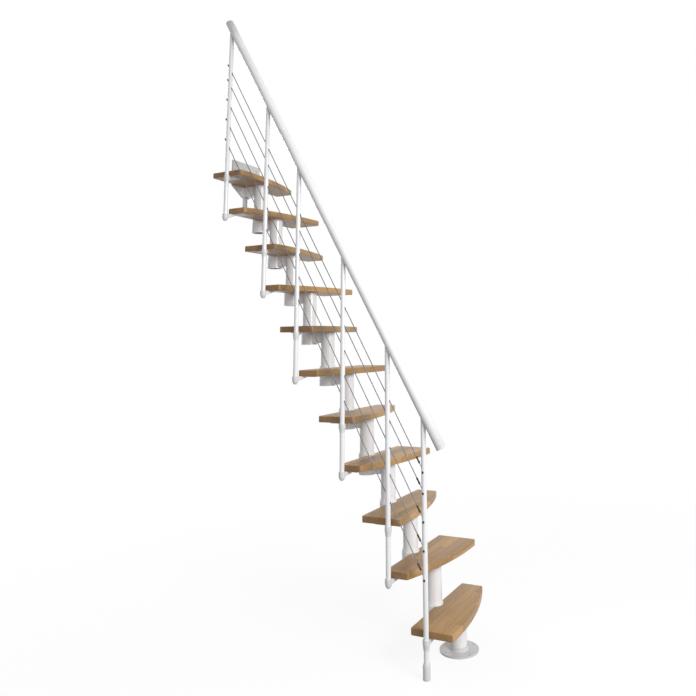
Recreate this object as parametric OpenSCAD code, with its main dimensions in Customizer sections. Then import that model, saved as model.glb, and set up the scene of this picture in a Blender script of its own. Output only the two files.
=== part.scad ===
// Space-saving staircase with alternating paddle treads on a central steel spine.
// Frame: origin at the centre of the base flange on the floor, +X to the right going up,
// +Y the way up, +Z up. All sizes in millimetres.

/* [Stair] */
// Height from one tread top to the next
rise = 225; // [180:1:250]
// Height of the lowest tread top above the floor
first_rise = 190; // [160:1:260]
// Level distance from one spine tube to the next
going = 127; // [105:1:180]

/* [Treads] */
// Length of a tread across the stair
tread_w = 600; // [480:10:720]
// Thickness of the wooden treads
tread_t = 31; // [24:1:45]
// Reach of the straight rear edge behind the tread's own tube
rear_reach = 107; // [92:1:125]
// Reach of the wide end in front of the tube
wide_front = 103; // [70:1:130]
// Reach of the narrow end in front of the tube
narrow_front = 9; // [0:1:30]
// Outward bow of the front edge between its two ends
front_bow = 30; // [12:1:45]
// Cut across the four corners of a tread
corner_cut = 7; // [2:1:14]

/* [Spine] */
// Outside diameter of the spine tubes
tube_d = 76; // [60:0.2:92]
// Wall of the spine tubes
tube_wall = 3; // [2:0.5:5]
// Wall of the sockets that take the tubes
socket_wall = 6; // [3:0.5:10]
// Length of a socket below its tread
socket_drop = 68; // [45:1:80]
// Width of the web box between tube and socket
web_w = 52; // [35:1:60]
// Height of the web box
web_h = 60; // [40:1:66]

/* [Base and landing] */
// Diameter of the base flange
flange_d = 188; // [150:1:240]
// Thickness of the base flange
flange_t = 8; // [5:1:12]
// Diameter of the flange's bolt circle
flange_pcd = 160; // [125:1:200]
// Diameter of the flange's bolt holes
flange_hole_d = 11; // [7:0.5:14]
// Width of the landing plate
plate_w = 250; // [180:5:300]
// Height of the landing plate above the top tread
plate_up = 127; // [85:1:170]
// Reach of the landing plate's tapered part below the top tread's surface
plate_down = 96; // [80:1:130]
// Thickness of the landing plate
plate_t = 8; // [5:1:12]
// Diameter of the landing plate's bolt holes
plate_hole_d = 12; // [8:0.5:16]

/* [Railing] */
// Outside diameter of the posts
post_d = 24; // [18:1:30]
// Wall of the posts
post_wall = 2; // [1.5:0.5:4]
// Outside diameter of the handrail
rail_d = 46; // [36:1:56]
// Wall of the handrail
rail_wall = 2.5; // [1.5:0.5:4]
// Height of the handrail's underside above the floor, over the base flange
rail_base = 1044; // [870:1:1200]
// Diameter of the cables
cable_d = 5; // [3:0.5:8]
// Distance of the top cable below the handrail's underside
cable_first = 220; // [150:1:290]
// Distance from the top cable to the second one
cable_gap_top = 92; // [60:1:130]
// Distance between the other cables
cable_gap = 122; // [85:1:140]

/* [Hidden] */
n_treads = 11;
n_cables = 5;
wood = [0.70, 0.56, 0.42];
paint = [0.93, 0.93, 0.93];
steel = [0.45, 0.45, 0.47];
dark = [0.12, 0.12, 0.13];
half_w = tread_w / 2;
pitch = atan(rise / going);
slope = rise / going;
// clearances
fit = 0.3;
tube_fit = 0.5;
notch_fit = 1.5;
end_gap = 2;
// turn of the flange's bolt holes about the tube
flange_turn = 58;
// tubes and sockets
tube_r = tube_d / 2;
tube_bore_r = tube_r - tube_wall;
socket_r = tube_r + tube_fit + socket_wall;
socket_rim = 2;
socket_lip = 5;
collar_h = 8;
collar_step = 2.5;
cap_t = 5;
// posts stand just outside the left ends of the treads
post_r = post_d / 2;
post_x = -(half_w + end_gap + post_r);
rail_r = rail_d / 2;
foot_back = 21;
post_back = 82;
post_far = 114;
rail_drop = rail_r / cos(pitch);
rail_low_y = -68;
rail_high = 22;
rail_cap_t = 4;
// brackets
sleeve_r = post_r + 4.5;
sleeve_end_r = post_r + 1.8;
sleeve_top = 18;
sleeve_h = 40;
cup_floor = 9;
sleeve_taper = sleeve_h - cup_floor - sleeve_top;
cup_tip_r = post_r - 5;
cup_t = 5;
arm_len = 92;
arm_t = 14;
arm_tip = 6;
gusset_len = 58;
screw_reach = 68;
pad_len = 66;
pad_half = 37;
pad_t = 4;
plug_half = 29;
foot_r = post_r + 5;
foot_h = 66;
foot_cone = 12;
// landing plate
plate_gap = 8;
tongue_w = 34;
tongue_end = 14;
plate_shoulder = 33;
plate_foot_w = 56;
plate_hole_x = 180;
plate_hole_up = 92;
plate_low_x = 70;
plate_low_down = 60;
// cable fittings
hole_r = cable_d / 2 + 0.5;
barrel_r = cable_d / 2 + 2;
// distance along a cable, from a post's axis, at which a fitting comes clear of the post
fitting_clear = post_r / cos(pitch) + barrel_r * tan(pitch);
barrel_gap = 9.6;
barrel_from = fitting_clear + barrel_gap;
barrel_len = 34;
stop_gap = 2.6;
stop_from = fitting_clear + stop_gap;
stop_len = 9;
tail = 50;
cable_inside = 5;
screw_r = 3;
head_r = 5.5;
head_h = 3.5;
plug_r = 6;
plug_h = 1;

// height of the top of tread k
function top(k) = first_rise + (k - 1) * rise;
// place of the tube of tread k along the stair
function tube_y(k) = (k - 1) * going;
// odd treads are wide on the left, even ones on the right
function side(k) = (k % 2 == 1) ? 1 : -1;
// post i stands by the rear of even tread 2i; post 0 stands by the lowest tread
function post_y(i) = (i == 0) ? foot_back : tube_y(2 * i) + ((i == 3 || i == 5) ? post_far : post_back);
// the screw plugs of a tread sit over its bracket, to one side of the post
function plug_y(k) = tube_y(k) + ((k % 2 == 1) ? 4 : 48);
function under_z(y) = rail_base + y * slope;
function rail_z(y) = under_z(y) + rail_drop;
function cable_below(c) = cable_first + ((c > 0) ? cable_gap_top : 0) + ((c > 1) ? (c - 1) * cable_gap : 0);
function cable_z(c, y) = under_z(y) - cable_below(c);
// radius of the arc through both front corners with the given bow
function bow_chord() = norm([tread_w, wide_front - narrow_front]);
function bow_radius() = (pow(bow_chord() / 2, 2) + pow(front_bow, 2)) / (2 * front_bow);

// a bar lying along the pitch of the stair at the posts' plane, through (y, z)
module along(y, z, from, length, r, fn) {
    translate([post_x, y, z])
        rotate([-(90 - pitch), 0, 0])
            translate([0, 0, from])
                cylinder(r = r, h = length, $fn = fn);
}

// a bar that lies across the stair, from the lowest post's axis out to the left
module side_bar(z, length, r, fn) {
    translate([post_x, post_y(0), z])
        rotate([0, -90, 0])
            cylinder(r = r, h = length, $fn = fn);
}

// screw through the lowest post's outer wall that holds the end of a cable
module clamp_screw(z) {
    translate([-cable_d / 2, 0, 0])
        side_bar(z, post_r - cable_d / 2, screw_r, 32);
    translate([-post_r, 0, 0])
        side_bar(z, head_h, head_r, 48);
}

module tread_plan() {
    w = half_w;
    c = corner_cut;
    far = wide_front + front_bow + 20;
    polygon([
        [-w, rear_reach - c],
        [-w + c, rear_reach],
        [w - c, rear_reach],
        [w, rear_reach - c],
        [w, -narrow_front - c * 0.6],
        [w - c, -narrow_front - c * 0.6 - 4],
        [w - c, -far],
        [-w + c, -far],
        [-w + c, -wide_front - 4],
        [-w, -wide_front + c - 4]
    ]);
}

// one paddle tread, wide at the left when odd, with its rear notch round the next tube
module tread(k) {
    lean = atan((wide_front - narrow_front) / tread_w);
    mid_y = -(wide_front + narrow_front) / 2;
    rad = bow_radius();
    back = rad - front_bow;
    translate([0, tube_y(k), top(k) - tread_t])
        difference() {
            scale([side(k), 1, 1])
                intersection() {
                    linear_extrude(height = tread_t)
                        tread_plan();
                    translate([-back * sin(lean), mid_y + back * cos(lean), -1])
                        cylinder(r = rad, h = tread_t + 2, $fn = 360);
                }
            if (k < n_treads)
                translate([0, going, -1])
                    cylinder(r = socket_r + notch_fit, h = tread_t + 2, $fn = 96);
        }
}

// one spine module: front tube, web box under the tread and rear socket
module spine(k) {
    zu = top(k) - tread_t;
    y0 = tube_y(k);
    foot = (k == 1) ? flange_t : top(k - 1) - tread_t - socket_drop + socket_lip;
    last = (k == n_treads);
    reach = last ? rear_reach + plate_gap : going;
    difference() {
        union() {
            translate([0, y0, foot])
                cylinder(r = tube_r, h = zu - foot, $fn = 96);
            translate([-web_w / 2, y0, zu - web_h])
                cube([web_w, reach, web_h]);
            if (!last)
                translate([0, y0 + going, zu - socket_drop])
                    cylinder(r = socket_r, h = socket_drop + tread_t + socket_rim, $fn = 96);
            if (!last)
                translate([0, y0 + going, top(k) + socket_rim])
                    cylinder(r = socket_r - collar_step, h = collar_h, $fn = 96);
        }
        translate([0, y0, foot - 1])
            cylinder(r = tube_bore_r, h = zu - cap_t - foot + 1, $fn = 96);
        if (!last)
            translate([0, y0 + going, zu - socket_drop + socket_lip])
                cylinder(r = tube_r + tube_fit, h = 2 * tread_t + socket_drop + collar_h, $fn = 96);
        if (!last)
            translate([0, y0 + going, zu - socket_drop - 1])
                cylinder(r = tube_bore_r, h = socket_drop, $fn = 96);
    }
}

module plate_outline() {
    w = plate_w / 2;
    t = tongue_w / 2;
    f = plate_foot_w / 2;
    polygon([
        [-w, plate_up],
        [w, plate_up],
        [w, -plate_shoulder],
        [f, -plate_down],
        [t, -plate_down],
        [t, tongue_end - rise],
        [-t, tongue_end - rise],
        [-t, -plate_down],
        [-f, -plate_down],
        [-w, -plate_shoulder]
    ]);
}

module gusset(turn) {
    rotate([90, 0, turn])
        linear_extrude(height = arm_t, center = true)
            polygon([
                [0, 0],
                [gusset_len, 0],
                [gusset_len, -arm_tip],
                [0, -sleeve_h + cup_floor]
            ]);
}

// bracket that ties post i to tread k; the lower one of a pair is a closed cup
module bracket(i, k, cup) {
    zu = top(k) - tread_t;
    pad_from = plug_y(k) - post_y(i) - pad_half;
    tip_r = cup ? cup_tip_r : sleeve_end_r;
    translate([post_x, post_y(i), zu])
        difference() {
            union() {
                translate([0, 0, -sleeve_top])
                    cylinder(r = sleeve_r, h = sleeve_top, $fn = 64);
                translate([0, 0, -sleeve_h + cup_floor])
                    cylinder(r1 = sleeve_end_r, r2 = sleeve_r, h = sleeve_taper, $fn = 64);
                gusset(atan2(plug_y(k) - post_y(i), screw_reach));
                translate([arm_len - pad_len, pad_from, -pad_t])
                    cube([pad_len, 2 * pad_half, pad_t]);
                translate([0, 0, -sleeve_h])
                    cylinder(r1 = tip_r, r2 = sleeve_end_r, h = cup_floor, $fn = 64);
            }
            translate([0, 0, cup ? -sleeve_h + cup_floor : -sleeve_h - 1])
                cylinder(r = post_r + fit, h = sleeve_h + 2, $fn = 64);
        }
}

module post(i) {
    y = post_y(i);
    foot = (i == 0) ? cup_t : top(2 * i) - tread_t - sleeve_h + cup_floor;
    high = rail_z(y);
    difference() {
        translate([post_x, y, foot])
            cylinder(r = post_r, h = high - foot, $fn = 64);
        translate([post_x, y, foot - 1])
            cylinder(r = post_r - post_wall, h = high - foot + 2, $fn = 64);
        along(y, rail_z(y), -120, 240, rail_r + fit, 96);
        for (c = [0 : n_cables - 1])
            along(y, cable_z(c, y), (i == 0) ? 0 : -60, (i == 0) ? 60 : 120, hole_r, 32);
        if (i == 0)
            for (c = [0 : n_cables - 1])
                side_bar(cable_z(c, y), post_r + 1, screw_r + fit, 32);
    }
}

module cable(c) {
    y_low = post_y(0);
    y_high = post_y(5);
    run = (y_high - y_low) / cos(pitch);
    along(y_low, cable_z(c, y_low), -cable_inside, run + cable_inside + tail, cable_d / 2, 32);
}

module ring_on_cable(c, i, from, length, r, fn) {
    y = post_y(i);
    difference() {
        along(y, cable_z(c, y), from, length, r, fn);
        along(y, cable_z(c, y), from - 1, length + 2, cable_d / 2 + fit, 32);
    }
}

module tread_01() {
    color(wood)
        tread(1);
}

module tread_02() {
    color(wood)
        tread(2);
}

module tread_03() {
    color(wood)
        tread(3);
}

module tread_04() {
    color(wood)
        tread(4);
}

module tread_05() {
    color(wood)
        tread(5);
}

module tread_06() {
    color(wood)
        tread(6);
}

module tread_07() {
    color(wood)
        tread(7);
}

module tread_08() {
    color(wood)
        tread(8);
}

module tread_09() {
    color(wood)
        tread(9);
}

module tread_10() {
    color(wood)
        tread(10);
}

module tread_11() {
    color(wood)
        tread(11);
}

module spine_01() {
    color(paint)
        spine(1);
}

module spine_02() {
    color(paint)
        spine(2);
}

module spine_03() {
    color(paint)
        spine(3);
}

module spine_04() {
    color(paint)
        spine(4);
}

module spine_05() {
    color(paint)
        spine(5);
}

module spine_06() {
    color(paint)
        spine(6);
}

module spine_07() {
    color(paint)
        spine(7);
}

module spine_08() {
    color(paint)
        spine(8);
}

module spine_09() {
    color(paint)
        spine(9);
}

module spine_10() {
    color(paint)
        spine(10);
}

module spine_11() {
    color(paint)
        spine(11);
}

module post_1() {
    color(paint)
        post(0);
}

module post_2() {
    color(paint)
        post(1);
}

module post_3() {
    color(paint)
        post(2);
}

module post_4() {
    color(paint)
        post(3);
}

module post_5() {
    color(paint)
        post(4);
}

module post_6() {
    color(paint)
        post(5);
}

module brackets_1() {
    color(paint)
        bracket(0, 1, false);
}

module brackets_2() {
    color(paint) {
        bracket(1, 3, false);
        bracket(1, 2, true);
    }
}

module brackets_3() {
    color(paint) {
        bracket(2, 5, false);
        bracket(2, 4, true);
    }
}

module brackets_4() {
    color(paint) {
        bracket(3, 7, false);
        bracket(3, 6, true);
    }
}

module brackets_5() {
    color(paint) {
        bracket(4, 9, false);
        bracket(4, 8, true);
    }
}

module brackets_6() {
    color(paint) {
        bracket(5, 11, false);
        bracket(5, 10, true);
    }
}

module cable_1() {
    color(steel)
        cable(0);
}

module cable_2() {
    color(steel)
        cable(1);
}

module cable_3() {
    color(steel)
        cable(2);
}

module cable_4() {
    color(steel)
        cable(3);
}

module cable_5() {
    color(steel)
        cable(4);
}

module base_flange() {
    color(paint)
        difference() {
            union() {
                cylinder(r = flange_d / 2, h = flange_t, $fn = 128);
                translate([0, 0, flange_t])
                    cylinder(r1 = tube_r + 8, r2 = tube_r + 5, h = 16, $fn = 96);
            }
            translate([0, 0, flange_t])
                cylinder(r = tube_r + fit, h = 20, $fn = 96);
            for (a = [0 : 3])
                rotate([0, 0, flange_turn + 90 * a])
                    translate([flange_pcd / 2, 0, -1])
                        cylinder(r = flange_hole_d / 2, h = flange_t + 2, $fn = 48);
        }
}

module landing_plate() {
    y = tube_y(n_treads) + rear_reach + plate_gap;
    color(paint)
        translate([0, y + plate_t, top(n_treads)])
            difference() {
                rotate([90, 0, 0])
                    linear_extrude(height = plate_t)
                        plate_outline();
                for (s = [-1, 1])
                    translate([s * plate_hole_x / 2, 1, plate_hole_up])
                        rotate([90, 0, 0])
                            cylinder(r = plate_hole_d / 2, h = plate_t + 2, $fn = 48);
                for (s = [-1, 1])
                    translate([s * plate_low_x / 2, 1, -plate_low_down])
                        rotate([90, 0, 0])
                            cylinder(r = plate_hole_d / 2, h = plate_t + 2, $fn = 48);
            }
}

module post_foot() {
    color(paint)
        translate([post_x, post_y(0), 0])
            difference() {
                union() {
                    cylinder(r = foot_r, h = foot_h - foot_cone, $fn = 64);
                    translate([0, 0, foot_h - foot_cone])
                        cylinder(r1 = foot_r, r2 = sleeve_end_r, h = foot_cone, $fn = 64);
                }
                translate([0, 0, cup_t])
                    cylinder(r = post_r + fit, h = foot_h, $fn = 64);
            }
}

module handrail() {
    y_low = rail_low_y;
    y_high = post_y(5) + rail_high;
    run = (y_high - y_low) / cos(pitch);
    color(paint)
        difference() {
            along(y_low, rail_z(y_low), 0, run, rail_r, 96);
            along(y_low, rail_z(y_low), -1, run + 2, rail_r - rail_wall, 96);
        }
}

module rail_caps() {
    y_low = rail_low_y;
    y_high = post_y(5) + rail_high;
    color(paint) {
        along(y_low, rail_z(y_low), -rail_cap_t, rail_cap_t, rail_r, 96);
        along(y_high, rail_z(y_high), 0, rail_cap_t, rail_r, 96);
    }
}

module cable_tensioners() {
    color(dark)
        for (c = [0 : n_cables - 1])
            ring_on_cable(c, 0, barrel_from, barrel_len, barrel_r, 48);
}

module cable_ends() {
    color(steel) {
        for (c = [0 : n_cables - 1])
            clamp_screw(cable_z(c, post_y(0)));
        for (c = [0 : n_cables - 1])
            ring_on_cable(c, 5, stop_from, stop_len, barrel_r, 48);
    }
}

module tread_plugs() {
    color(dark)
        for (k = [1 : n_treads])
            for (s = [-1, 1])
                translate([post_x + screw_reach, plug_y(k) + s * plug_half, top(k)])
                    cylinder(r = plug_r, h = plug_h, $fn = 48);
}

tread_01();
tread_02();
tread_03();
tread_04();
tread_05();
tread_06();
tread_07();
tread_08();
tread_09();
tread_10();
tread_11();
spine_01();
spine_02();
spine_03();
spine_04();
spine_05();
spine_06();
spine_07();
spine_08();
spine_09();
spine_10();
spine_11();
base_flange();
landing_plate();
post_1();
post_2();
post_3();
post_4();
post_5();
post_6();
brackets_1();
brackets_2();
brackets_3();
brackets_4();
brackets_5();
brackets_6();
post_foot();
handrail();
rail_caps();
cable_1();
cable_2();
cable_3();
cable_4();
cable_5();
cable_tensioners();
cable_ends();
tread_plugs();
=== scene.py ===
"""Space-saving staircase: oak paddle treads, painted steel spine, railing and cables.

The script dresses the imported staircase. Each operator makes one group of pieces.
"""

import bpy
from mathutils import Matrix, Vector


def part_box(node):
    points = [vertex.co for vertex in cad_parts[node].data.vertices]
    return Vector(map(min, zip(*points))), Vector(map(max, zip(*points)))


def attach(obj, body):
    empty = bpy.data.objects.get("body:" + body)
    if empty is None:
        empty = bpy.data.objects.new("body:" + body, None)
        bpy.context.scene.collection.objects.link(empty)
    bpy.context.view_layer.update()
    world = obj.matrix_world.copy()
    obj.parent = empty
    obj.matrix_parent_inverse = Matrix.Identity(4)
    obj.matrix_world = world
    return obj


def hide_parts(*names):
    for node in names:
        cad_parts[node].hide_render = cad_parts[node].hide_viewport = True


bl_info = {
    "name": "Space-saving staircase",
    "version": (1, 0, 0),
    "blender": (4, 5, 0),
    "location": "3D View > Sidebar > Staircase",
    "description": "Oak paddle treads, painted steel spine, handrail and cable railing",
    "category": "Add Mesh",
}

import math

import bmesh
import bpy
from bpy.props import (
    FloatProperty,
    FloatVectorProperty,
    IntProperty,
    PointerProperty,
)
from mathutils import Matrix, Vector

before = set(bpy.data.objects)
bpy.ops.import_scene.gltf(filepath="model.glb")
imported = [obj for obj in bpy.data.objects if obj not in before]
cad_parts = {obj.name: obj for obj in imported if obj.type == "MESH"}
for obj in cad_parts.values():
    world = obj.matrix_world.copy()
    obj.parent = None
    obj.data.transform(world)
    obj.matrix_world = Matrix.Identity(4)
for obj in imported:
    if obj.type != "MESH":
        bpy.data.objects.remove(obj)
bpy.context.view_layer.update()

# ---------------------------------------------------------------------------
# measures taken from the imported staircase, in metres
# ---------------------------------------------------------------------------

TREADS = 11
POSTS = 6
CABLES = 5


def span(node, axis):
    low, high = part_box(node)
    return high[axis] - low[axis]


TREAD_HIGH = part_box("tread_01")[1]
LAST_TREAD_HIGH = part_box("tread_11")[1]
HALF_LENGTH = span("tread_01", 0) / 2
GOING = (LAST_TREAD_HIGH.y - TREAD_HIGH.y) / (TREADS - 1)
RISE = (LAST_TREAD_HIGH.z - TREAD_HIGH.z) / (TREADS - 1)
FIRST_TOP = TREAD_HIGH.z
REAR_REACH = TREAD_HIGH.y
PITCH = math.atan2(RISE, GOING)
SLOPE = RISE / GOING
SOCKET_R = span("spine_01", 0) / 2
POST_R = span("post_1", 0) / 2
POST_X = (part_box("post_1")[0].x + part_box("post_1")[1].x) / 2
RAIL_R = span("handrail", 0) / 2
RAIL_END = RAIL_R * math.sin(PITCH)
CABLE_R = span("cable_1", 0) / 2

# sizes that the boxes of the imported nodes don't give
WIDE_FRONT = 0.103
NARROW_FRONT = 0.009
NOTCH_FIT = 0.0015
PLUG_HALF_GAP = 0.029
PLUG_SHIFT_ODD = 0.004
PLUG_SHIFT_EVEN = 0.048
PLUG_HEIGHT = 0.0011

# distances along a cable from the middle of its post
STUD_FROM = 0.004
STOP_FROM = 0.035
BARREL_FROM = 0.042
CABLE_FROM = BARREL_FROM + 0.002
STUD_TO = BARREL_FROM + 0.0025


def tread_top(k):
    return FIRST_TOP + (k - 1) * RISE


def tube_y(k):
    return (k - 1) * GOING


def post_y(i):
    low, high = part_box(f"post_{i}")
    return (low.y + high.y) / 2


def cable_line(c):
    """Height of cable c over the foot of the stair, on its own straight line."""
    low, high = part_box(f"cable_{c}")
    mid_y, mid_z = (low.y + high.y) / 2, (low.z + high.z) / 2
    return mid_z - mid_y * SLOPE


def rail_line():
    low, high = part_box("handrail")
    return (low.z + high.z) / 2 - (low.y + high.y) / 2 * SLOPE


def along(y, z):
    """Places a piece made along Z so that it climbs with the stair from (y, z)."""
    return Matrix.Translation((POST_X, y, z)) @ Matrix.Rotation(
        -(math.pi / 2 - PITCH), 4, "X"
    )


# ---------------------------------------------------------------------------
# sizes and colours a user would change
# ---------------------------------------------------------------------------


def length_property(name, description, default, least, most):
    return FloatProperty(
        name=name,
        description=description,
        default=default,
        min=least,
        max=most,
        unit="LENGTH",
    )


def colour_property(name, description, default):
    return FloatVectorProperty(
        name=name,
        description=description,
        subtype="COLOR",
        size=4,
        min=0.0,
        max=1.0,
        default=default,
    )


class StairSizes(bpy.types.PropertyGroup):
    edge_round: length_property(
        "Edge rounding", "Radius worked on the long edges of a tread", 0.0038, 0.001, 0.01
    )
    corner_round: length_property(
        "Corner rounding", "Radius of a tread's corners seen from above", 0.009, 0.003, 0.02
    )
    front_bow: length_property(
        "Front bow", "How far the front edge of a tread swells out", 0.030, 0.0, 0.045
    )
    stave_width: length_property(
        "Stave width", "Width of the glued strips in a tread", 0.037, 0.02, 0.1
    )
    stave_length: length_property(
        "Stave length", "Length of the glued strips in a tread", 1.15, 0.1, 1.5
    )
    lay_length: length_property(
        "Lay of the cable", "Length in which a strand turns once round its cable",
        0.036, 0.015, 0.08,
    )
    paint_round: length_property(
        "Steel edge rounding", "Width of the soft edge that the paint leaves on the steel",
        0.0009, 0.0002, 0.003,
    )
    rail_length: length_property(
        "Handrail length", "Length of one piece of handrail between two joints",
        0.63, 0.3, 1.5,
    )
    joint_width: length_property(
        "Handrail joint", "Width of the fine groove where two rail pieces meet",
        0.0016, 0.0005, 0.004,
    )
    strands: IntProperty(
        name="Strands",
        description="Outer strands of each cable",
        default=6,
        min=3,
        max=12,
    )


class StairFinish(bpy.types.PropertyGroup):
    oak_light: colour_property(
        "Light oak", "Colour of the palest staves", (0.550, 0.340, 0.142, 1.0)
    )
    oak_dark: colour_property(
        "Dark oak", "Colour of the darkest staves", (0.245, 0.130, 0.044, 1.0)
    )
    paint: colour_property(
        "Steel paint", "Colour of the painted steel", (0.80, 0.80, 0.815, 1.0)
    )
    # the flange and landing plate take the white paint darkened to grey as painted shade
    plate_paint: colour_property(
        "Plate paint", "Greyer paint of the base flange and the landing plate",
        (0.60, 0.60, 0.605, 1.0),
    )
    # the brackets and the post foot take the white paint darkened to grey as painted shade
    cast_paint: colour_property(
        "Casting paint", "Paint of the brackets and of the foot of the lowest post",
        (0.66, 0.66, 0.665, 1.0),
    )
    cable: colour_property(
        "Cable steel", "Colour of the stranded cables", (0.20, 0.20, 0.205, 1.0)
    )
    stud: colour_property(
        "Stud steel", "Colour of the threaded studs", (0.42, 0.42, 0.44, 1.0)
    )
    fitting: colour_property(
        "Fittings", "Colour of the tensioners, clamp screws, end stops and sleeves",
        (0.022, 0.022, 0.024, 1.0),
    )
    plug: colour_property(
        "Plugs", "Colour of the plugs on the treads", (0.045, 0.020, 0.010, 1.0)
    )


# ---------------------------------------------------------------------------
# shader building
# ---------------------------------------------------------------------------


def feed(tree, socket, value):
    """Links a socket, or sets its value."""
    if isinstance(value, bpy.types.NodeSocket):
        tree.links.new(value, socket)
    else:
        socket.default_value = value


def add(tree, kind, at, inputs=None, **settings):
    """Adds a node with its settings, and links or sets its inputs."""
    node = tree.nodes.new(kind)
    node.location = at
    for key, value in settings.items():
        setattr(node, key, value)
    for key, value in (inputs or {}).items():
        feed(tree, node.inputs[key], value)
    return node


def maths(tree, at, operation, *values):
    node = add(tree, "ShaderNodeMath", at, dict(enumerate(values)), operation=operation)
    return node.outputs[0]


def blend_colour(tree, at, factor, first, second, mode="MIX"):
    values = {"Factor": factor, 6: first, 7: second}
    node = add(tree, "ShaderNodeMix", at, values, data_type="RGBA", blend_type=mode)
    return node.outputs[2]


def mapped(tree, at, *values):
    """Maps a value from one range to another: value, from low, high, to low, high."""
    return add(tree, "ShaderNodeMapRange", at, dict(enumerate(values))).outputs[0]


def noise(tree, at, vector, scale, detail=3.0, rough=0.5):
    values = {"Vector": vector, "Scale": scale, "Detail": detail, "Roughness": rough}
    return add(tree, "ShaderNodeTexNoise", at, values).outputs["Fac"]


def stretched(tree, at, vector, scale, shift=None):
    node = add(tree, "ShaderNodeVectorMath", at, {0: vector, 1: scale}, operation="MULTIPLY")
    if shift is None:
        return node.outputs[0]
    values = {0: node.outputs[0], 1: shift}
    beside = (at[0] + 160, at[1])
    return add(tree, "ShaderNodeVectorMath", beside, values, operation="ADD").outputs[0]


def open_group(name, inputs, outputs):
    tree = bpy.data.node_groups.new(name, "ShaderNodeTree")
    for label, kind, default in inputs:
        socket = tree.interface.new_socket(name=label, in_out="INPUT", socket_type=kind)
        if default is not None:
            socket.default_value = default
    for label, kind in outputs:
        tree.interface.new_socket(name=label, in_out="OUTPUT", socket_type=kind)
    given = add(tree, "NodeGroupInput", (-1400, 0)).outputs
    return tree, given, add(tree, "NodeGroupOutput", (1900, 0))


def hand_out(tree, out, **values):
    for label, value in values.items():
        tree.links.new(value, out.inputs[label])
    return tree


def surface_life_group():
    """Slow tone drift, fine speckle and a soft skin bump, used by every finish."""
    if "surface_life" in bpy.data.node_groups:
        return bpy.data.node_groups["surface_life"]
    tree, given, out = open_group(
        "surface_life",
        [
            ("Vector", "NodeSocketVector", None),
            ("Color", "NodeSocketColor", (0.8, 0.8, 0.8, 1.0)),
            ("Drift", "NodeSocketFloat", 0.04),
            ("Drift Scale", "NodeSocketFloat", 4.0),
            ("Skin Scale", "NodeSocketFloat", 600.0),
            ("Roughness", "NodeSocketFloat", 0.3),
            ("Roughness Spread", "NodeSocketFloat", 0.08),
        ],
        [
            ("Color", "NodeSocketColor"),
            ("Roughness", "NodeSocketFloat"),
            ("Height", "NodeSocketFloat"),
        ],
    )
    spread = given["Roughness Spread"]
    drift = noise(tree, (-1100, 250), given["Vector"], given["Drift Scale"], 5.0)
    skin = noise(tree, (-1100, -250), given["Vector"], given["Skin Scale"], 2.0)
    centred = maths(tree, (-850, 250), "SUBTRACT", drift, 0.5)
    scaled = maths(tree, (-650, 250), "MULTIPLY", centred, given["Drift"])
    gain = maths(tree, (-450, 250), "MULTIPLY_ADD", scaled, 2.0, 1.0)
    toned = add(
        tree, "ShaderNodeVectorMath", (-200, 250),
        {0: given["Color"], "Scale": gain}, operation="SCALE",
    )
    wide = maths(tree, (-650, 0), "MULTIPLY", centred, spread)
    fine = maths(tree, (-850, -100), "SUBTRACT", skin, 0.5)
    fine = maths(tree, (-650, -100), "MULTIPLY", fine, spread)
    both = maths(tree, (-450, -50), "ADD", wide, fine)
    rough = maths(tree, (-250, -50), "ADD", both, given["Roughness"])
    return hand_out(tree, out, Color=toned.outputs[0], Roughness=rough, Height=skin)


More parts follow.
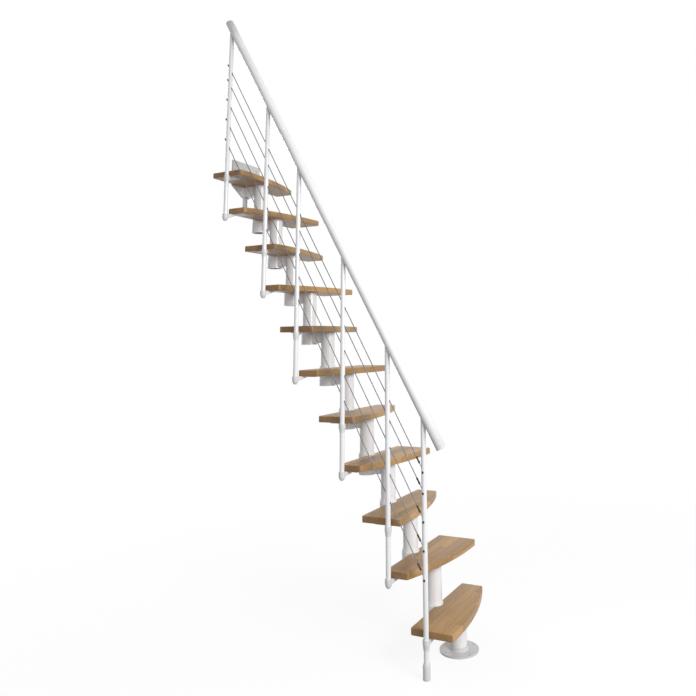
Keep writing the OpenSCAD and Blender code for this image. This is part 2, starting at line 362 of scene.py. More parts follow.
def staves_group():
    """Glued oak staves that run along X, each with its own tone, rings and pores."""
    if "oak_staves" in bpy.data.node_groups:
        return bpy.data.node_groups["oak_staves"]
    tree, given, out = open_group(
        "oak_staves",
        [
            ("Vector", "NodeSocketVector", None),
            ("Stave Width", "NodeSocketFloat", 0.043),
            ("Stave Length", "NodeSocketFloat", 0.6),
            ("Light", "NodeSocketColor", (0.52, 0.34, 0.19, 1.0)),
            ("Dark", "NodeSocketColor", (0.36, 0.2, 0.1, 1.0)),
            ("End Face", "NodeSocketFloat", 0.0),
        ],
        [
            ("Color", "NodeSocketColor"),
            ("Roughness", "NodeSocketFloat"),
            ("Height", "NodeSocketFloat"),
        ],
    )
    place = given["Vector"]
    split = add(tree, "ShaderNodeSeparateXYZ", (-1200, 200), {0: place}).outputs
    # which row of staves, in which band of height, and which stave in its row
    band_height = 0.2
    across = maths(tree, (-1000, 350), "DIVIDE", split[1], given["Stave Width"])
    row = maths(tree, (-850, 350), "FLOOR", across)
    level = maths(tree, (-1000, 600), "DIVIDE", split[2], band_height)
    level = maths(tree, (-850, 600), "FLOOR", level)
    seed = maths(tree, (-700, 550), "MULTIPLY_ADD", level, 37.0, row)
    row_luck = add(
        tree, "ShaderNodeTexWhiteNoise", (-550, 550), {"W": seed}, noise_dimensions="1D"
    )
    run = maths(tree, (-1000, 150), "DIVIDE", split[0], given["Stave Length"])
    run = maths(tree, (-400, 350), "MULTIPLY_ADD", row_luck.outputs["Value"], 5.0, run)
    piece = maths(tree, (-250, 350), "FLOOR", run)
    key = add(tree, "ShaderNodeCombineXYZ", (-100, 450), {0: seed, 1: piece})
    luck = add(
        tree, "ShaderNodeTexWhiteNoise", (50, 450),
        {"Vector": key.outputs[0]}, noise_dimensions="3D",
    ).outputs
    # growth rings about a heart that lies at a different place in each stave
    heart = (3.0, 0.12, 0.16)
    shift = stretched(tree, (200, 600), luck["Color"], heart)
    slow = stretched(tree, (200, 300), place, (0.09, 1.0, 1.0), shift)
    rings = add(
        tree, "ShaderNodeTexWave", (420, 300),
        {
            "Vector": slow,
            "Scale": 42.0,
            "Distortion": 2.4,
            "Detail": 2.0,
            "Detail Scale": 9.0,
        },
        wave_type="RINGS", rings_direction="X", wave_profile="SAW",
    )
    # fibre streaks and pores
    fibre_at = stretched(tree, (200, 0), place, (2.2, 62.0, 62.0), shift)
    fibre = noise(tree, (420, 0), fibre_at, 3.0, 5.0, 0.6)
    pore_at = stretched(tree, (200, -250), place, (26.0, 620.0, 620.0))
    pore = noise(tree, (420, -250), pore_at, 1.0, 1.0, 0.4)
    pore_mask = mapped(tree, (600, -250), pore, 0.62, 0.72, 0.0, 1.0)
    # tone
    ring_dark = maths(tree, (600, 300), "MULTIPLY", rings.outputs["Fac"], 0.24)
    fibre_dark = mapped(tree, (600, 0), fibre, 0.3, 0.7, 0.0, 0.26)
    base = mapped(tree, (600, 520), luck["Value"], 0.0, 1.0, 0.0, 0.58)
    tone = maths(tree, (760, 300), "ADD", ring_dark, fibre_dark)
    tone = maths(tree, (760, 450), "ADD", tone, base)
    colour = blend_colour(tree, (920, 350), tone, given["Light"], given["Dark"])
    # warmer staves where the tone is light
    warm, plain = (1.04, 0.985, 0.93, 1.0), (0.98, 1.0, 1.0, 1.0)
    hue = blend_colour(tree, (920, 550), luck["Value"], warm, plain)
    colour = blend_colour(tree, (1080, 400), 1.0, colour, hue, "MULTIPLY")
    pore_cut = maths(tree, (920, 0), "MULTIPLY", pore_mask, 0.28)
    pore_brown = (0.12, 0.06, 0.03, 1.0)
    colour = blend_colour(tree, (1240, 300), pore_cut, colour, pore_brown)
    # glue lines between staves
    edge = maths(tree, (-700, -100), "FRACT", across)
    edge = maths(tree, (-550, -100), "PINGPONG", edge, 0.5)
    seam = mapped(tree, (-400, -100), edge, 0.0, 0.016, 1.0, 0.0)
    butt = maths(tree, (-250, 100), "FRACT", run)
    butt = maths(tree, (-100, 100), "PINGPONG", butt, 0.5)
    butt = mapped(tree, (50, 100), butt, 0.0, 0.0012, 1.0, 0.0)
    line = maths(tree, (200, -450), "MAXIMUM", seam, butt)
    cut = maths(tree, (760, -450), "MULTIPLY", line, 0.38)
    glue_brown = (0.16, 0.085, 0.04, 1.0)
    colour = blend_colour(tree, (1400, 250), cut, colour, glue_brown)
    # end grain is darker, and the ends are darkened further as painted shade
    end = maths(tree, (1240, 0), "MULTIPLY", given["End Face"], 0.50)
    end_grain_and_shade_brown = (0.17, 0.082, 0.038, 1.0)
    colour = blend_colour(tree, (1560, 200), end, colour, end_grain_and_shade_brown)
    rough = mapped(tree, (1240, -200), fibre, 0.2, 0.8, 0.36, 0.50)
    rough = maths(tree, (1400, -200), "MULTIPLY_ADD", pore_mask, 0.1, rough)
    height = maths(tree, (1240, -400), "MULTIPLY_ADD", pore_mask, -0.6, fibre)
    height = maths(tree, (1400, -400), "MULTIPLY_ADD", line, -0.5, height)
    return hand_out(tree, out, Color=colour, Roughness=rough, Height=height)


def start_material(name):
    material = bpy.data.materials.new(name)
    material.use_nodes = True
    tree = material.node_tree
    shader = tree.nodes["Principled BSDF"]
    shader.location = (900, 0)
    tree.nodes["Material Output"].location = (1250, 0)
    return material, tree, shader, add(tree, "ShaderNodeTexCoord", (-900, 0)).outputs


def dress_shader(tree, shader, life, height, strength, distance, **fixed):
    """Colour and roughness from the shared group, a bump, and the fixed values."""
    tree.links.new(life["Color"], shader.inputs["Base Color"])
    tree.links.new(life["Roughness"], shader.inputs["Roughness"])
    for label, value in fixed.items():
        shader.inputs[label.replace("_", " ")].default_value = value
    values = {"Strength": strength, "Distance": distance, "Height": height}
    bump = add(tree, "ShaderNodeBump", (650, -350), values)
    tree.links.new(bump.outputs[0], shader.inputs["Normal"])


def place_life(tree, vector, **values):
    """Puts the shared surface group into a material with its own values."""
    life = add(tree, "ShaderNodeGroup", (250, 0), node_tree=surface_life_group())
    feed(tree, life.inputs["Vector"], vector)
    for label, value in values.items():
        feed(tree, life.inputs[label.replace("_", " ")], value)
    return life.outputs


def oak_material():
    if "lacquered_oak" in bpy.data.materials:
        return bpy.data.materials["lacquered_oak"]
    sizes = bpy.context.scene.stair_sizes
    finish = bpy.context.scene.stair_finish
    material, tree, shader, coords = start_material("lacquered_oak")
    # the tread ends, which face along X, get darker end grain and painted shade
    split = add(tree, "ShaderNodeSeparateXYZ", (-650, -250), {0: coords["Normal"]})
    facing = maths(tree, (-500, -250), "ABSOLUTE", split.outputs[0])
    facing = mapped(tree, (-350, -250), facing, 0.55, 0.95, 0.0, 1.0)
    staves = add(
        tree, "ShaderNodeGroup", (-200, 0),
        {
            "Vector": coords["Object"],
            "Stave Width": sizes.stave_width,
            "Stave Length": sizes.stave_length,
            "Light": finish.oak_light,
            "Dark": finish.oak_dark,
            "End Face": facing,
        },
        node_tree=staves_group(),
    ).outputs
    life = place_life(
        tree,
        coords["Object"],
        Color=staves["Color"],
        Drift=0.16,
        Drift_Scale=7.0,
        Skin_Scale=900.0,
        Roughness=staves["Roughness"],
        Roughness_Spread=0.06,
    )
    dress_shader(
        tree, shader, life, staves["Height"], 0.35, 0.0006,
        Specular_IOR_Level=0.36, Coat_Weight=0.12, Coat_Roughness=0.28,
    )
    return material


def life_material(name, paint, drift, drift_scale, skin, rough, spread, bump, **fixed):
    """A finish made of the shared surface group over one of the user's colours."""
    if name in bpy.data.materials:
        return bpy.data.materials[name]
    material, tree, shader, coords = start_material(name)
    life = place_life(
        tree,
        coords["Object"],
        Color=tuple(getattr(bpy.context.scene.stair_finish, paint)),
        Drift=drift,
        Drift_Scale=drift_scale,
        Skin_Scale=skin,
        Roughness=rough,
        Roughness_Spread=spread,
    )
    dress_shader(tree, shader, life, life["Height"], bump, 0.0004, **fixed)
    return material


def paint_material():
    return life_material(
        "gloss_white_paint", "paint", 0.035, 3.0, 420.0, 0.26, 0.10, 0.12,
        Specular_IOR_Level=0.5, Coat_Weight=0.35, Coat_Roughness=0.12,
    )


def plate_material():
    # white paint darkened to grey, as painted shade on the flange and landing plate
    return life_material(
        "grey_plate_paint", "plate_paint", 0.06, 5.0, 380.0, 0.34, 0.12, 0.16,
        Specular_IOR_Level=0.5, Coat_Weight=0.15, Coat_Roughness=0.2,
    )


def cast_material():
    """Painted castings: a touch greyer than the tubes as painted shade, and rougher."""
    return life_material(
        "cast_paint", "cast_paint", 0.05, 12.0, 300.0, 0.38, 0.14, 0.35,
        Specular_IOR_Level=0.5, Coat_Weight=0.1, Coat_Roughness=0.25,
    )


def cable_material():
    return life_material(
        "cable_wire", "cable", 0.25, 60.0, 1500.0, 0.38, 0.18, 0.3, Metallic=0.85
    )


def polished_material():
    return life_material(
        "turned_steel", "stud", 0.10, 80.0, 1800.0, 0.28, 0.14, 0.2, Metallic=1.0
    )


def fitting_material():
    return life_material(
        "black_fitting", "fitting", 0.2, 90.0, 1400.0, 0.42, 0.15, 0.35,
        Specular_IOR_Level=0.45,
    )


def plug_material():
    return life_material(
        "plug_brown", "plug", 0.2, 120.0, 1500.0, 0.6, 0.12, 0.3,
        Specular_IOR_Level=0.25,
    )


# ---------------------------------------------------------------------------
# mesh building
# ---------------------------------------------------------------------------


def stand_in_scene(name, mesh):
    thing = bpy.data.objects.new(name, mesh)
    bpy.context.scene.collection.objects.link(thing)
    return thing


def piece_from(bm, name, material):
    """Closes a mesh up, turns its faces outwards and makes it a piece."""
    bmesh.ops.remove_doubles(bm, verts=bm.verts, dist=1e-6)
    bmesh.ops.recalc_face_normals(bm, faces=bm.faces)
    for face in bm.faces:
        face.smooth = len(face.verts) < 6
    mesh = bpy.data.meshes.new(name)
    bm.to_mesh(mesh)
    bm.free()
    mesh.materials.append(material)
    return stand_in_scene(name, mesh)


def keep(piece, slot, *nodes):
    """Fixes a finished piece to the staircase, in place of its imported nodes."""
    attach(piece, "root")
    if nodes:
        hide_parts(*nodes)


def softened(node, name, material, width):
    """Copies a packed steel node and gives its hard edges the roundness of paint."""
    flat, hard_angle, sharp_angle = math.radians(0.5), math.radians(32), math.radians(48)
    bm = bmesh.new()
    bm.from_mesh(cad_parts[node].data)
    bmesh.ops.remove_doubles(bm, verts=bm.verts, dist=1e-6)
    bmesh.ops.dissolve_limit(bm, angle_limit=flat, verts=bm.verts, edges=bm.edges)
    hard = [
        edge
        for edge in bm.edges
        if len(edge.link_faces) == 2 and edge.calc_face_angle() > hard_angle
    ]
    bmesh.ops.bevel(
        bm,
        geom=hard,
        offset=width,
        offset_type="OFFSET",
        segments=2,
        profile=0.5,
        affect="EDGES",
        clamp_overlap=True,
    )
    mesh = bpy.data.meshes.new(name)
    bm.to_mesh(mesh)
    bm.free()
    mesh.shade_smooth()
    mesh.set_sharp_from_angle(angle=sharp_angle)
    mesh.materials.append(material)
    draft = stand_in_scene(name + "_draft", mesh)
    draft.modifiers.new("weighted", "WEIGHTED_NORMAL").keep_sharp = True
    graph = bpy.context.evaluated_depsgraph_get()
    done = bpy.data.meshes.new_from_object(draft.evaluated_get(graph), depsgraph=graph)
    bpy.data.objects.remove(draft)
    done.name = name
    return stand_in_scene(name, done)


def lathe(bm, profile, place=Matrix.Identity(4), steps=40):
    """Turns a profile of (distance, radius) pairs about Z and closes its ends."""
    rings = []
    for distance, radius in profile:
        if radius <= 1e-7:
            rings.append([bm.verts.new(place @ Vector((0, 0, distance)))])
            continue
        ring = []
        for s in range(steps):
            turn = 2 * math.pi * s / steps
            spot = Vector((radius * math.cos(turn), radius * math.sin(turn), distance))
            ring.append(bm.verts.new(place @ spot))
        rings.append(ring)
    for low, high in zip(rings, rings[1:]):
        for s in range(steps):
            t = (s + 1) % steps
            if len(low) == 1 and len(high) == 1:
                continue
            if len(low) == 1:
                bm.faces.new((low[0], high[t], high[s]))
            elif len(high) == 1:
                bm.faces.new((low[s], low[t], high[0]))
            else:
                bm.faces.new((low[s], low[t], high[t], high[s]))
    if len(rings[0]) > 1:
        bm.faces.new(list(reversed(rings[0])))
    if len(rings[-1]) > 1:
        bm.faces.new(rings[-1])


def rounded(points, corners, radius, steps=6):
    """Rounds the corners at the given positions of a closed outline."""
    result = []
    count = len(points)
    for i, point in enumerate(points):
        if i not in corners:
            result.append(point)
            continue
        before, after = points[i - 1], points[(i + 1) % count]
        a, b = (before - point).normalized(), (after - point).normalized()
        half = a.angle(b) / 2
        reach = min(
            radius / math.tan(half),
            (before - point).length * 0.9,
            (after - point).length * 0.9,
        )
        used = reach * math.tan(half)
        centre = point + (a + b).normalized() * used / math.sin(half)
        start, end = point + a * reach - centre, point + b * reach - centre
        turn = start.angle_signed(end)
        for s in range(steps + 1):
            spoke = start.copy()
            spoke.rotate(Matrix.Rotation(-turn * s / steps, 2))
            result.append(centre + spoke)
    return result


def tread_outline(k):
    """Outline of tread k from above, anticlockwise, about its own tube."""
    sizes = bpy.context.scene.stair_sizes
    half, rear = HALF_LENGTH, REAR_REACH
    wide, narrow, bow = WIDE_FRONT, NARROW_FRONT, sizes.front_bow
    front_steps, notch_steps = 40, 28
    chord = math.hypot(2 * half, wide - narrow)
    radius = ((chord / 2) ** 2 + bow**2) / (2 * bow)
    lean = math.atan2(wide - narrow, 2 * half)
    back = radius - bow
    centre = Vector(
        (-back * math.sin(lean), -(wide + narrow) / 2 + back * math.cos(lean))
    )
    start, end = Vector((-half, -wide)) - centre, Vector((half, -narrow)) - centre
    first, last = math.atan2(start.y, start.x), math.atan2(end.y, end.x)
    front = [
        centre
        + radius * Vector((math.cos(a), math.sin(a)))
        for a in (
            first + (last - first) * s / front_steps for s in range(front_steps + 1)
        )
    ]
    points = front + [Vector((half, rear))]
    corners = {0, front_steps, front_steps + 1}
    if k < TREADS:
        notch_r = SOCKET_R + NOTCH_FIT
        mouth = math.acos((GOING - rear) / notch_r)
        begin, finish = -math.pi / 2 + mouth, -math.pi / 2 - mouth
        corners.add(len(points))
        for s in range(notch_steps + 1):
            a = begin + (finish - begin) * s / notch_steps
            points.append(Vector((notch_r * math.cos(a), GOING + notch_r * math.sin(a))))
        corners.add(len(points) - 1)
    corners.add(len(points))
    points.append(Vector((-half, rear)))
    points = rounded(points, corners, sizes.corner_round)
    if k % 2 == 0:
        points = [Vector((-p.x, p.y)) for p in reversed(points)]
    return points


def inset(points, distance):
    """Moves an anticlockwise outline inwards."""
    moved = []
    count = len(points)
    for i, point in enumerate(points):
        a = (point - points[i - 1]).normalized()
        b = (points[(i + 1) % count] - point).normalized()
        na, nb = Vector((-a.y, a.x)), Vector((-b.y, b.x))
        way = (na + nb).normalized()
        moved.append(point + way * distance / max(0.5, way.dot(na)))
    return moved


# ---------------------------------------------------------------------------
# geometry node trees for what repeats
# ---------------------------------------------------------------------------


def open_tree(name, inputs):
    tree = bpy.data.node_groups.new(name, "GeometryNodeTree")
    shape = "NodeSocketGeometry"
    tree.interface.new_socket(name="Geometry", in_out="INPUT", socket_type=shape)
    for label, kind, default in inputs + [("Material", "NodeSocketMaterial", None)]:
        socket = tree.interface.new_socket(name=label, in_out="INPUT", socket_type=kind)
        if default is not None:
            socket.default_value = default
    tree.interface.new_socket(name="Geometry", in_out="OUTPUT", socket_type=shape)
    return tree, add(tree, "NodeGroupInput", (-900, 0)).outputs


def close_tree(tree, given, shape, **placing):
    """Sets the smoothed shape on each point, then realizes it and gives it its material."""
    smooth = add(tree, "GeometryNodeSetShadeSmooth", (150, 150), {"Geometry": shape})
    values = {"Points": given["Geometry"], "Instance": smooth.outputs[0], **placing}
    stand = add(tree, "GeometryNodeInstanceOnPoints", (350, 0), values)
    real = add(tree, "GeometryNodeRealizeInstances", (550, 0), {0: stand.outputs[0]})
    values = {"Geometry": real.outputs[0], "Material": given["Material"]}
    dressed = add(tree, "GeometryNodeSetMaterial", (750, 0), values)
    add(tree, "NodeGroupOutput", (950, 0), {0: dressed.outputs[0]})
    return tree


def combined(tree, at, values):
    return add(tree, "ShaderNodeCombineXYZ", at, values).outputs[0]


def circle(tree, at, resolution, radius):
    values = {"Resolution": resolution, "Radius": radius}
    return add(tree, "GeometryNodeCurvePrimitiveCircle", at, values).outputs[0]


def swept(tree, at, curve, section, **values):
    values = {"Curve": curve, "Profile Curve": section, **values}
    return add(tree, "GeometryNodeCurveToMesh", at, values).outputs[0]


def grown(name, tree, points, values):
    """Runs a tree over some points and keeps the result as a plain mesh."""
    seed_mesh = bpy.data.meshes.new(name + "_points")
    seed_mesh.from_pydata([tuple(p) for p in points], [], [])
    seed = stand_in_scene(name + "_points", seed_mesh)
    modifier = seed.modifiers.new("grow", "NODES")
    modifier.node_group = tree
    keys = {
        item.name: item.identifier
        for item in tree.interface.items_tree
        if item.item_type == "SOCKET" and item.in_out == "INPUT"
    }
    for label, value in values.items():
        modifier[keys[label]] = value
    graph = bpy.context.evaluated_depsgraph_get()
    mesh = bpy.data.meshes.new_from_object(seed.evaluated_get(graph), depsgraph=graph)
    mesh.name = name
    mesh.materials.clear()
    mesh.materials.append(values["Material"])
    mesh.polygons.foreach_set("material_index", [0] * len(mesh.polygons))
    seed.modifiers.remove(modifier)
    bpy.data.objects.remove(seed)
    return stand_in_scene(name, mesh)


def washer_tree():
    """Round, slightly domed collars with a hole, one on each point."""
    if "collars_on_points" in bpy.data.node_groups:
        return bpy.data.node_groups["collars_on_points"]
    tree, given = open_tree(
        "collars_on_points",
        [
            ("Radius", "NodeSocketFloat", 0.006),
            ("Thickness", "NodeSocketFloat", 0.002),
            ("Tilt", "NodeSocketFloat", 0.0),
            ("Sides", "NodeSocketInt", 24),
        ],
    )
    ring = circle(tree, (-600, 200), given["Sides"], given["Radius"])
    half = maths(tree, (-750, 0), "MULTIPLY", given["Thickness"], 0.5)
    collar = swept(tree, (-350, 100), ring, circle(tree, (-600, 0), 8, half))
    tilt = combined(tree, (-350, -150), {0: given["Tilt"]})
    return close_tree(tree, given, collar, Rotation=tilt)


def cap_tree():
    """Low domed caps, one on each point."""
    if "caps_on_points" in bpy.data.node_groups:
        return bpy.data.node_groups["caps_on_points"]
    tree, given = open_tree(
        "caps_on_points",
        [
            ("Radius", "NodeSocketFloat", 0.006),
            ("Height", "NodeSocketFloat", 0.001),
            ("Sides", "NodeSocketInt", 24),
        ],
    )
    values = {"Segments": given["Sides"], "Rings": 10, "Radius": 1.0}
    ball = add(tree, "GeometryNodeMeshUVSphere", (-600, 200), values)
    size = {0: given["Radius"], 1: given["Radius"], 2: given["Height"]}
    scale = combined(tree, (-600, -100), size)
    return close_tree(tree, given, ball.outputs["Mesh"], Scale=scale)


def cable_tree():
    """Strands laid in a helix round a straight core, along Z from the point."""
    if "laid_cable" in bpy.data.node_groups:
        return bpy.data.node_groups["laid_cable"]
    tree, given = open_tree(
        "laid_cable",
        [
            ("Length", "NodeSocketFloat", 1.0),
            ("Cable Radius", "NodeSocketFloat", 0.0025),
            ("Lay", "NodeSocketFloat", 0.036),
            ("Strands", "NodeSocketInt", 6),
            ("Tilt", "NodeSocketFloat", 0.0),
        ],
    )
    length = given["Length"]
    third = maths(tree, (-700, 300), "DIVIDE", given["Cable Radius"], 3.0)
    lay_r = maths(tree, (-550, 350), "MULTIPLY", third, 2.0)
    helix = add(
        tree, "GeometryNodeCurveSpiral", (-400, 300),
        {
            "Resolution": 9,
            "Rotations": maths(tree, (-700, 150), "DIVIDE", length, given["Lay"]),
            "Start Radius": lay_r,
            "End Radius": lay_r,
            "Height": length,
        },
    )
    section = circle(tree, (-400, 50), 6, third)
    strand = swept(
        tree, (-200, 200), helix.outputs[0], section, **{"Fill Caps": True}
    )
    core_end = combined(tree, (-600, -150), {2: length})
    core = add(tree, "GeometryNodeCurvePrimitiveLine", (-400, -150), {"End": core_end})
    core_mesh = swept(
        tree, (-200, -100), core.outputs[0], section, **{"Fill Caps": True}
    )
    dots = add(tree, "GeometryNodePoints", (-400, 550), {"Count": given["Strands"]})
    number = add(tree, "GeometryNodeInputIndex", (-400, 700)).outputs[0]
    step = maths(tree, (-300, 800), "DIVIDE", 2 * math.pi, given["Strands"])
    turn = maths(tree, (-200, 700), "MULTIPLY", number, step)
    ring = add(
        tree, "GeometryNodeInstanceOnPoints", (-50, 400),
        {
            "Points": dots.outputs[0],
            "Instance": strand,
            "Rotation": combined(tree, (-50, 700), {2: turn}),
        },
    )
    join = add(tree, "GeometryNodeJoinGeometry", (50, 200))
    tree.links.new(ring.outputs[0], join.inputs[0])
    tree.links.new(core_mesh, join.inputs[0])
    tilt = combined(tree, (100, -150), {0: given["Tilt"]})
    return close_tree(tree, given, join.outputs[0], Rotation=tilt)


# ---------------------------------------------------------------------------
# operators
# ---------------------------------------------------------------------------


def seen_by(tree, at, *rays):
    """One where any of the named rays looks, and zero elsewhere."""
    path = add(tree, "ShaderNodeLightPath", at).outputs
    seen = path[rays[0]]
    for ray in rays[1:]:
        seen = maths(tree, (at[0] + 200, at[1] + 100), "MAXIMUM", seen, path[ray])
    return seen


def mixed_shader(tree, at, factor, first, second):
    values = {0: factor, 1: first.outputs[0], 2: second.outputs[0]}
    return add(tree, "ShaderNodeMixShader", at, values)


class STAIR_OT_stage(bpy.types.Operator):
    """Camera, pale floor, soft lights and a white surround"""

    bl_idname = "stair.stage"
    bl_label = "Stage"

    def execute(self, context):
        scene = context.scene
        scene.camera = self.make_camera()
        self.make_floor()
        self.make_world(scene)
        self.soft_lamp("key", (-1.9, -3.5, 2.6), (0.0, 0.5, 1.3), 1.8, 176.0)
        self.soft_lamp("back", (2.4, 3.9, 3.4), (0.0, 0.7, 1.2), 2.2, 60.0)
        scene.view_settings.view_transform = "Standard"
        return {"FINISHED"}

    def make_camera(self):
        """Camera low on the left in front of the stair, looking up along it."""
        yaw, rise, roll = math.radians(65.24), math.radians(10.29), math.radians(-1.07)
        flat = math.cos(rise)
        ahead = Vector((math.sin(yaw) * flat, math.cos(yaw) * flat, math.sin(rise)))
        right = Vector((math.cos(yaw), -math.sin(yaw), 0))
        up = right.cross(ahead)
        tilted_right = right * math.cos(roll) + up * math.sin(roll)
        tilted_up = up * math.cos(roll) - right * math.sin(roll)
        turn = Matrix((tilted_right, tilted_up, -ahead)).transposed().to_4x4()
        lens = bpy.data.cameras.new("camera")
        lens.sensor_width = 36.0
        lens.lens = 34.46
        lens.shift_x = -0.1242
        lens.shift_y = -0.1882
        lens.clip_end = 100.0
        camera = stand_in_scene("camera", lens)
        camera.matrix_world = Matrix.Translation((-3.2056, -1.3905, 1.4655)) @ turn
        return camera

    def make_floor(self):
        radius, depth, steps = 14, 0.0005, 64
        bm = bmesh.new()
        ring = []
        for s in range(steps):
            turn = 2 * math.pi * s / steps
            ring.append(
                bm.verts.new((radius * math.cos(turn), radius * math.sin(turn), -depth))
            )
        bm.faces.new(ring)
        mesh = bpy.data.meshes.new("floor")
        bm.to_mesh(mesh)
        bm.free()
        floor = stand_in_scene("floor", mesh)
        mesh.materials.append(self.floor_material())

    def make_world(self, scene):
        """Soft fill from all round, and plain white behind the stair."""
        world = bpy.data.worlds.new("studio")
        scene.world = world
        world.use_nodes = True
        tree = world.node_tree
        plain_white = (1.0, 1.0, 1.0, 1.0)
        fill = tree.nodes["Background"]
        fill.inputs["Color"].default_value = plain_white
        fill.inputs["Strength"].default_value = 0.50
        values = {"Color": plain_white, "Strength": 1.0}
        white = add(tree, "ShaderNodeBackground", (0, -200), values)
        seen = seen_by(
            tree, (-300, 200), "Is Camera Ray", "Is Glossy Ray", "Is Transmission Ray"
        )
        mix = mixed_shader(tree, (250, 0), seen, fill, white)
        tree.links.new(mix.outputs[0], tree.nodes["World Output"].inputs[0])

    def soft_lamp(self, name, place, target, size, power):
        """A square lamp with a cloth front, turned towards its target."""
        lamp = bpy.data.lights.new(name, "AREA")
        lamp.size = size
        lamp.energy = power
        holder = stand_in_scene(name, lamp)
        holder.location = place
        way = Vector(target) - Vector(place)
        holder.rotation_euler = way.to_track_quat("-Z", "Y").to_euler()
        holder.visible_camera = False

    def floor_material(self):
        material = bpy.data.materials.new("floor_pale")
        material.use_nodes = True
        tree = material.node_tree
        plain_white = (1.0, 1.0, 1.0, 1.0)
        shader = tree.nodes["Principled BSDF"]
        shader.inputs["Base Color"].default_value = (0.28, 0.28, 0.28, 1.0)
        shader.inputs["Roughness"].default_value = 0.9
        shader.inputs["Specular IOR Level"].default_value = 0.0
        shade = add(tree, "ShaderNodeBsdfDiffuse", (300, -200), {"Color": plain_white})
        values = {"Color": plain_white, "Strength": 1.0}
        white = add(tree, "ShaderNodeEmission", (300, -350), values)
        # the shadow shows round the stair, and the floor turns plain white further out
        place = add(tree, "ShaderNodeTexCoord", (-300, -200)).outputs["Object"]
        away = add(
            tree, "ShaderNodeVectorMath", (-100, -200), {0: place}, operation="LENGTH"
        )
        whiteness = mapped(tree, (100, -200), away.outputs["Value"], 1.0, 3.5, 0.87, 1.0)
        pale = mixed_shader(tree, (500, -250), whiteness, shade, white)
        seen = seen_by(tree, (100, 300), "Is Camera Ray", "Is Glossy Ray")
        mix = mixed_shader(tree, (700, 0), seen, shader, pale)
        tree.links.new(mix.outputs[0], tree.nodes["Material Output"].inputs[0])
        return material


class STAIR_OT_treads(bpy.types.Operator):
    """Oak treads with worked edges, wide to alternate sides"""

    bl_idname = "stair.treads"
    bl_label = "Treads"

    def execute(self, context):
        for k in range(1, TREADS + 1):
            self.tread(k, context.scene.stair_sizes.edge_round)
        return {"FINISHED"}

    def tread(self, k, rounding):
        """One tread, as rings of its outline that draw in towards the two faces."""
        outline = tread_outline(k)
        low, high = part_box(f"tread_{k:02d}")
        quarter = [math.pi / 2 * s / 4 for s in range(5)]
        levels = [
            (rounding * (1 - math.sin(a)), low.z + rounding * (1 - math.cos(a)))
            for a in quarter
        ]
        levels += [
            (rounding * (1 - math.cos(a)), high.z - rounding * (1 - math.sin(a)))
            for a in quarter
        ]
        bm = bmesh.new()
        rings = [
            [bm.verts.new((p.x, p.y + tube_y(k), z)) for p in inset(outline, distance)]
            for distance, z in levels
        ]
        count = len(outline)
        for under, over in zip(rings, rings[1:]):
            for i in range(count):
                j = (i + 1) % count
                bm.faces.new((under[i], under[j], over[j], over[i]))
        bm.faces.new(list(reversed(rings[0])))
        bm.faces.new(rings[-1])
        piece = piece_from(bm, f"oak_tread_{k:02d}", oak_material())
        keep(piece, "oak", f"tread_{k:02d}")


class STAIR_OT_tread_plugs(bpy.types.Operator):
    """Plugs over the screws that hold each tread to its bracket"""

    bl_idname = "stair.tread_plugs"
    bl_label = "Tread plugs"

    def execute(self, context):
        low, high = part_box("tread_plugs")
        x = (low.x + high.x) / 2
        points = []
        for k in range(1, TREADS + 1):
            middle = tube_y(k) + (PLUG_SHIFT_ODD if k % 2 else PLUG_SHIFT_EVEN)
            for side in (-1, 1):
                points.append((x, middle + side * PLUG_HALF_GAP, tread_top(k)))
        values = {
            "Radius": (high.x - low.x) / 2,
            "Height": PLUG_HEIGHT,
            "Sides": 24,
            "Material": plug_material(),
        }
        plugs = grown("screw_plugs", cap_tree(), points, values)
        keep(plugs, "plug_brown", "tread_plugs")
        return {"FINISHED"}


class STAIR_OT_painted_steel(bpy.types.Operator):
    """White paint on the spine and posts, darkened to grey as painted shade on the flange,
    plate and brackets
    """

    bl_idname = "stair.painted_steel"
    bl_label = "Painted steel"

    def execute(self, context):
        width = context.scene.stair_sizes.paint_round
        tubes = [f"spine_{k:02d}" for k in range(1, TREADS + 1)]
        tubes += [f"post_{i}" for i in range(1, POSTS + 1)]
        castings = [f"brackets_{i}" for i in range(1, POSTS + 1)] + ["post_foot"]
        for finish, nodes, material in (
            ("painted", tubes, paint_material()),
            # the flange, plate, brackets and post foot are greyer as painted shade
            ("painted", ["base_flange", "landing_plate"], plate_material()),
            ("cast", castings, cast_material()),
        ):
            for node in nodes:
                piece = softened(node, f"{finish}_{node}", material, width)
                keep(piece, "white_paint", node)
        return {"FINISHED"}


class STAIR_OT_handrail(bpy.types.Operator):
    """Round handrail with fine joints between its pieces"""

    bl_idname = "stair.handrail"
    bl_label = "Handrail"

    def execute(self, context):
        sizes = context.scene.stair_sizes
        low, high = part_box("handrail")
        start = low.y + RAIL_END
        length = (high.y - low.y - 2 * RAIL_END) / math.cos(PITCH)
        half, depth = sizes.joint_width / 2, sizes.joint_width * 0.4
        # the groove from one lip to the other, as shares of its half width and depth
        groove = ((-2.2, 0), (-1, 0.25), (-0.7, 1), (0.7, 1), (1, 0.25), (2.2, 0))
        profile = [(0.0, RAIL_R)]
        for j in range(1, int(length / sizes.rail_length) + 1):
            at = j * sizes.rail_length
            profile += [(at + aside * half, RAIL_R - deep * depth) for aside, deep in groove]
        profile.append((length, RAIL_R))
        bm = bmesh.new()
        lathe(bm, profile, along(start, rail_line() + start * SLOPE), 96)
        rail = piece_from(bm, "round_handrail", paint_material())
        keep(rail, "white_paint", "handrail")
        return {"FINISHED"}


